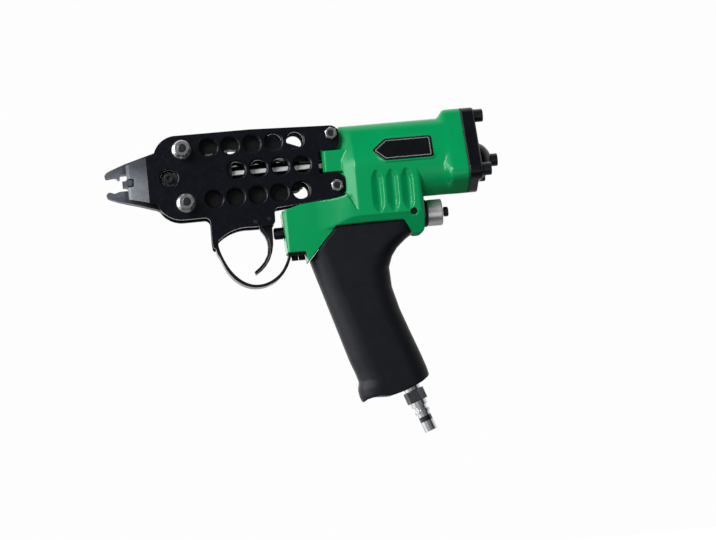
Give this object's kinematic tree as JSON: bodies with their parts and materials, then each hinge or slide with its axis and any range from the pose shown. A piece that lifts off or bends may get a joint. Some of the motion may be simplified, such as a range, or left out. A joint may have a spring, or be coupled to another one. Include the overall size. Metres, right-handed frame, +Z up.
{
  "type": "pneumatic hog ring tool",
  "caption": "Pistol-grip air tool that closes wire rings: cast body with piston, drilled side plates, hinged jaws driven by a cam, trigger with guard, rubber grip and air plug.",
  "frame": {"origin": "centre of the grip, where a hand holds it", "axes": "+X to the rear along the piston axis, +Y across the tool towards its right-hand side seen from behind the picture's near side, +Z up"},
  "size_m": [0.2959, 0.0572, 0.2417],
  "materials": {
    "green_paint": "satin powder paint on a casting",
    "black_oxide": "black oxide, faintly oiled",
    "jaw_steel": "blued tool steel with ground faces",
    "zinc_plate": "bright zinc plate",
    "bright_steel": "ground and polished",
    "black_cap": "satin black paint on a casting",
    "black_screw": "black oxide socket screw",
    "grip_rubber": "matte moulded rubber",
    "seal_rubber": "nitrile rubber",
    "gasket_fibre": "grey fibre gasket",
    "urethane": "amber urethane",
    "label_plate": "glossy black plate with a thin silver border",
    "bronze": "oil bronze bush",
    "piston_alloy": "turned aluminium",
    "plug_alloy": "turned, lightly brushed",
    "plug_plate": "nickel plate",
    "spring_steel": "drawn spring wire"
  },
  "bodies": {
    "frame": {"air_plug": "plug_plate", "anvil_screws": "black_screw", "cap_gasket": "gasket_fibre", "cap_screws": "black_screw", "cap_washers": "black_screw", "deflector_screw": "black_screw", "ear_bolts": "black_screw", "ear_nuts": "zinc_plate", "front_bumper": "urethane", "grip_sleeve": "grip_rubber", "guard_screws": "black_screw", "housing": "green_paint", "inlet_bush": "bright_steel", "inlet_washer": "gasket_fibre", "jaw_pivot_bolts": "black_screw", "jaw_pivot_nuts": "zinc_plate", "left_side_plate": "black_oxide", "lower_jaw_spring": "spring_steel", "main_valve_sleeve": "bronze", "main_valve_spring": "spring_steel", "nameplate": "label_plate", "piston_return_spring": "spring_steel", "rear_bumper": "urethane", "rear_cap": "black_cap", "right_side_plate": "black_oxide", "ring_anvil": "black_oxide", "rod_bushing": "bronze", "rod_seal": "seal_rubber", "trigger_guard": "black_oxide", "trigger_pivot_pin": "black_screw", "trigger_stop_pin": "black_screw", "trigger_valve_sleeve": "bronze", "trigger_valve_spring": "spring_steel", "upper_jaw_spring": "spring_steel", "valve_plug": "plug_alloy", "valve_plug_gasket": "seal_rubber", "valve_plug_screw": "black_screw", "valve_retaining_pin": "black_screw"},
    "ram": {"piston_rod": "bright_steel", "cam_plate": "bright_steel", "cam_pins": "bright_steel", "piston": "piston_alloy", "piston_seal": "seal_rubber", "piston_nut": "zinc_plate"},
    "upper_jaw_body": {"upper_jaw": "jaw_steel", "upper_jaw_bush": "bronze", "upper_roller_pin": "bright_steel"},
    "lower_jaw_body": {"lower_jaw": "jaw_steel", "lower_jaw_bush": "bronze", "lower_roller_pin": "bright_steel"},
    "upper_roller_body": {"upper_roller": "bright_steel"},
    "lower_roller_body": {"lower_roller": "bright_steel"},
    "trigger_body": {"trigger": "black_oxide"},
    "valve_stem_body": {"trigger_valve_stem": "black_screw", "trigger_valve_rings": "seal_rubber"},
    "spool_body": {"main_valve_spool": "plug_alloy"},
    "deflector_body": {"exhaust_deflector": "black_cap"}
  },
  "joints": [
    {"name": "ram_slide", "type": "slide", "parent": "frame", "child": "ram", "axis": [-1, 0, 0], "range_m": [0, 0.026], "stiffness_N_per_m": 400, "springref_m": -0.02, "deforming": ["piston_return_spring"]},
    {"name": "upper_jaw_hinge", "type": "hinge", "parent": "frame", "child": "upper_jaw_body", "pos_m": [-0.126, 0, 0.132], "axis": [0, -1, 0], "range_deg": [0, 3.6], "deforming": ["upper_jaw_spring"]},
    {"name": "lower_jaw_hinge", "type": "hinge", "parent": "frame", "child": "lower_jaw_body", "pos_m": [-0.126, 0, 0.092], "axis": [0, 1, 0], "range_deg": [0, 3.6], "deforming": ["lower_jaw_spring"]},
    {"name": "upper_roller_spin", "type": "hinge", "parent": "upper_jaw_body", "child": "upper_roller_body", "pos_m": [-0.044, 0, 0.12376], "axis": [0, 1, 0], "continuous": true},
    {"name": "lower_roller_spin", "type": "hinge", "parent": "lower_jaw_body", "child": "lower_roller_body", "pos_m": [-0.044, 0, 0.10025], "axis": [0, -1, 0], "continuous": true},
    {"name": "trigger_hinge", "type": "hinge", "parent": "frame", "child": "trigger_body", "pos_m": [-0.0653, 0, 0.0748], "axis": [0, -1, 0], "range_deg": [0, 8], "stiffness_Nm_per_rad": 0.06, "springref_deg": -20.05},
    {"name": "valve_stem_slide", "type": "slide", "parent": "frame", "child": "valve_stem_body", "axis": [1, 0, 0], "range_m": [0, 0.0016], "deforming": ["trigger_valve_spring"]},
    {"name": "main_spool_slide", "type": "slide", "parent": "frame", "child": "spool_body", "axis": [1, 0, 0], "range_m": [0, 0.003], "stiffness_N_per_m": 200, "springref_m": -0.002, "deforming": ["main_valve_spring"]},
    {"name": "deflector_turn", "type": "hinge", "parent": "frame", "child": "deflector_body", "pos_m": [0.099, 0, 0.106], "axis": [1, 0, 0], "continuous": true}
  ],
  "couplings": [
    {"joint": "upper_jaw_hinge", "follows": "ram_slide", "rad_per_m": 2.4164},
    {"joint": "lower_jaw_hinge", "follows": "ram_slide", "rad_per_m": 2.4164},
    {"joint": "valve_stem_slide", "follows": "trigger_hinge", "m_per_rad": 0.0103}
  ]
}
